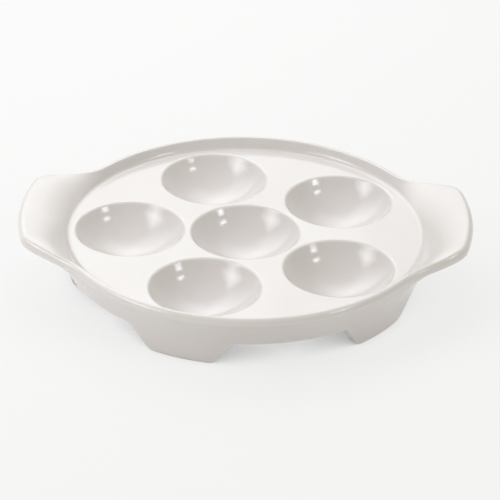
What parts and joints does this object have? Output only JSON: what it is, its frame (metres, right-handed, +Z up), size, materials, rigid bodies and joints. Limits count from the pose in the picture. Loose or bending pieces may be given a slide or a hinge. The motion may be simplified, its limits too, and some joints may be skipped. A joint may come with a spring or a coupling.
{
  "type": "escargot plate",
  "caption": "Round porcelain snail plate with bowl-shaped wells in a flat floor, a low rim, flared lug handles at its sides and short tapered feet.",
  "frame": {"origin": "on the table, under the centre of the middle well", "axes": "+X towards the right handle, +Y away from the picture's camera, +Z up out of the wells"},
  "size_m": [0.1688, 0.1416, 0.0262],
  "materials": {
    "glaze": "glossy warm white glaze over porcelain"
  },
  "bodies": {
    "root": {"plate_body": "glaze", "handle_left": "glaze", "handle_right": "glaze", "foot_1": "glaze", "foot_2": "glaze", "foot_3": "glaze", "foot_4": "glaze", "foot_5": "glaze"}
  },
  "joints": []
}
